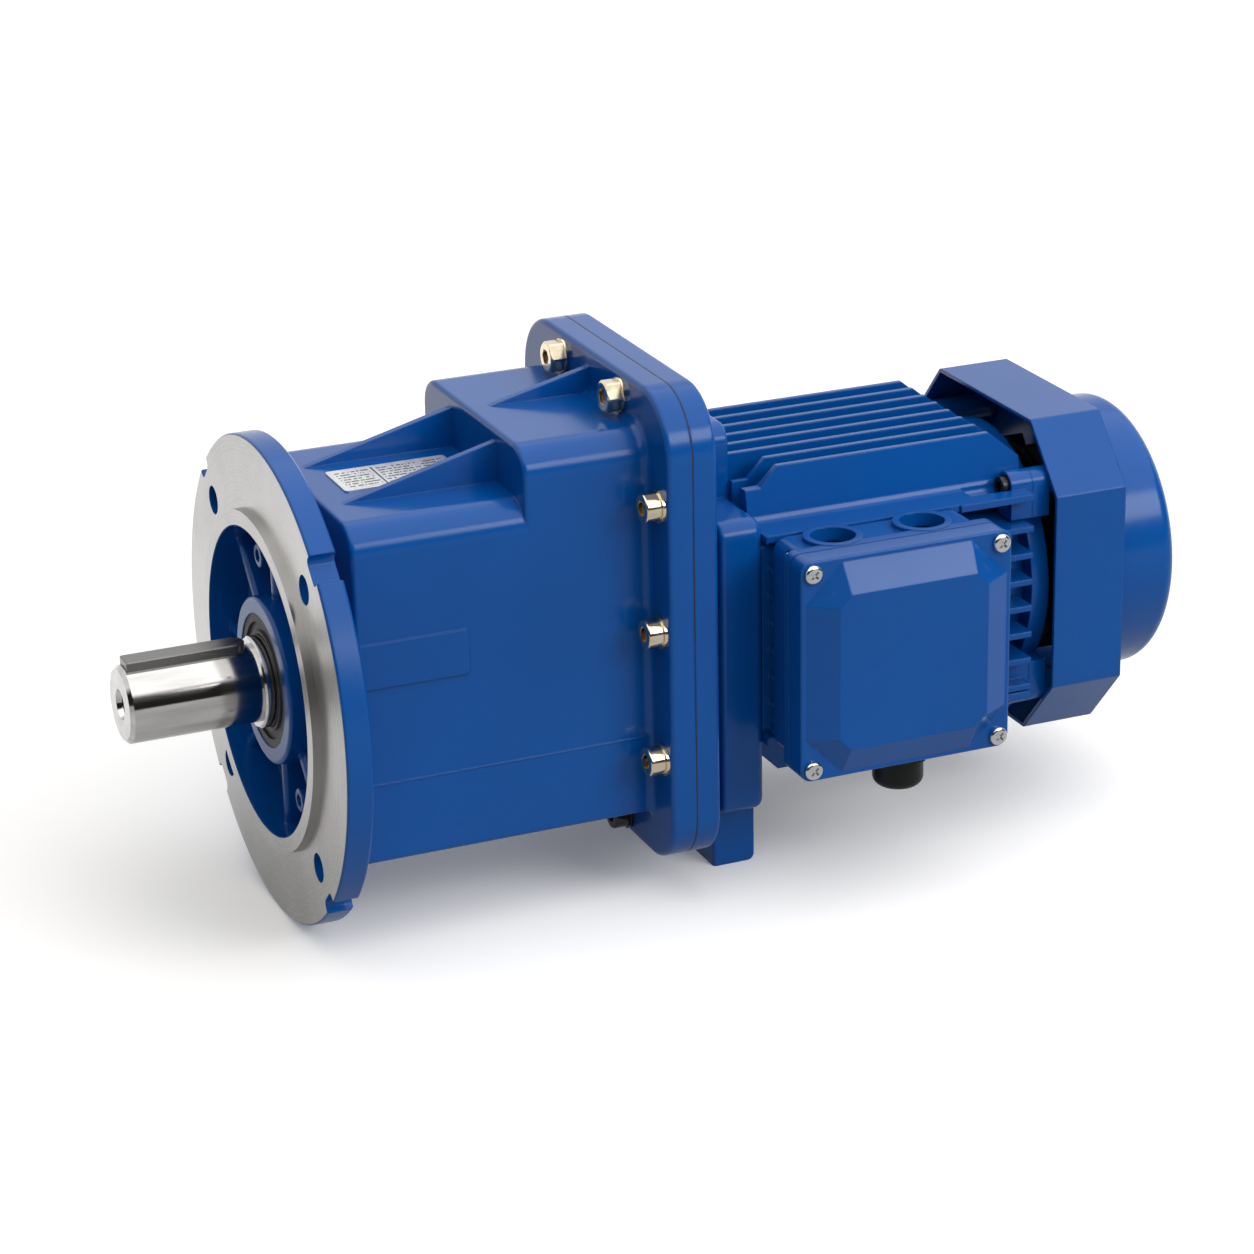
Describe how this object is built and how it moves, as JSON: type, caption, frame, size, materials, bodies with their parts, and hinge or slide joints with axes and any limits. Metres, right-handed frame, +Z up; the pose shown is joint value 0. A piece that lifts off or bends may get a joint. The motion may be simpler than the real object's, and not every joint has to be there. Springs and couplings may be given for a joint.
{
  "type": "in-line helical gearmotor",
  "caption": "Flange-mounted in-line helical gearbox with keyed output shaft, stepped case, footed rear cover, finned motor, side terminal box and fan cowl.",
  "frame": {"origin": "centre of the output flange's front face, on the output shaft's axis", "axes": "-X along the output shaft away from the gearbox, +X towards the motor, -Y towards the terminal box, +Z up from the foot"},
  "size_m": [0.4472, 0.207, 0.2175],
  "materials": {
    "painted_castings": "glossy blue enamel over cast aluminium; the flange's front face and spigot are bare",
    "painted_sheet": "glossy blue enamel over pressed steel sheet",
    "polished_steel": "ground and polished steel",
    "key_steel": "drawn key steel",
    "gear_steel": "case-hardened and ground steel",
    "bearing_steel": "ground bearing steel",
    "spring_steel": "phosphated spring steel",
    "seal_rubber": "nitrile rubber",
    "gasket_paper": "dark joint gasket",
    "zinc_yellow": "yellow passivated zinc plate on steel",
    "black_steel": "black oxide steel",
    "stainless": "bright stainless steel",
    "copper_ring": "soft copper",
    "nameplate_metal": null,
    "stator_steel": "laminated electrical steel",
    "winding": "enamelled copper wire, varnished",
    "cage_aluminium": "cast aluminium",
    "black_plastic": "black polyamide",
    "board_plastic": "brown moulding compound",
    "terminal_brass": "plain brass"
  },
  "bodies": {
    "housing": {"output_flange": "painted_castings", "flange_screws": "black_steel", "output_seal": "seal_rubber", "gear_case": "painted_castings", "nameplate": "nameplate_metal", "case_gasket": "gasket_paper", "joint_dowels": "black_steel", "oil_plugs": "black_steel", "oil_plug_washers": "copper_ring", "top_joint_screws": "zinc_yellow", "side_joint_screws": "zinc_yellow", "joint_washers": "zinc_yellow", "rear_cover": "painted_castings", "input_seal": "seal_rubber", "front_output_bearing": "bearing_steel", "rear_output_bearing": "bearing_steel", "front_layshaft_bearing": "bearing_steel", "rear_layshaft_bearing": "bearing_steel", "front_motor_bearing": "bearing_steel", "rear_motor_bearing": "bearing_steel", "motor_frame": "painted_castings", "motor_screws": "black_steel", "stator_core": "stator_steel", "stator_windings": "winding", "rear_end_shield": "painted_castings", "wave_spring": "spring_steel", "shield_screws": "black_steel", "fan_cowl": "painted_sheet", "cowl_screws": "black_steel", "terminal_box": "painted_castings", "box_gasket": "seal_rubber", "box_screws": "black_steel", "lid_gasket": "seal_rubber", "terminal_lid": "painted_castings", "lid_screws": "stainless", "terminal_board": "board_plastic", "terminal_studs": "terminal_brass", "gland_body": "black_plastic", "gland_nut": "black_plastic", "gland_seal": "seal_rubber"},
    "output": {"output_shaft": "polished_steel", "output_key": "key_steel", "output_gear": "gear_steel", "output_gear_key": "key_steel", "output_gear_spacer": "gear_steel", "output_gear_circlip": "spring_steel", "output_inner_rings": "bearing_steel"},
    "layshaft": {"layshaft_pinion": "gear_steel", "layshaft_gear": "gear_steel", "layshaft_key": "key_steel", "layshaft_spacer": "gear_steel", "layshaft_inner_rings": "bearing_steel"},
    "rotor": {"motor_shaft": "polished_steel", "input_pinion": "gear_steel", "rotor_core": "stator_steel", "rotor_end_rings": "cage_aluminium", "motor_inner_rings": "bearing_steel", "cooling_fan": "black_plastic", "fan_circlip": "spring_steel"}
  },
  "joints": [
    {"name": "output_spin", "type": "hinge", "parent": "housing", "child": "output", "pos_m": [0, 0, 0], "axis": [1, 0, 0], "continuous": true},
    {"name": "layshaft_spin", "type": "hinge", "parent": "housing", "child": "layshaft", "pos_m": [0.12, 0, 0.06], "axis": [1, 0, 0], "continuous": true},
    {"name": "motor_spin", "type": "hinge", "parent": "housing", "child": "rotor", "pos_m": [0.25, 0, 0.00525], "axis": [1, 0, 0], "continuous": true}
  ],
  "couplings": [
    {"joint": "layshaft_spin", "follows": "output_spin", "ratio": -4},
    {"joint": "motor_spin", "follows": "output_spin", "ratio": 12.222}
  ]
}
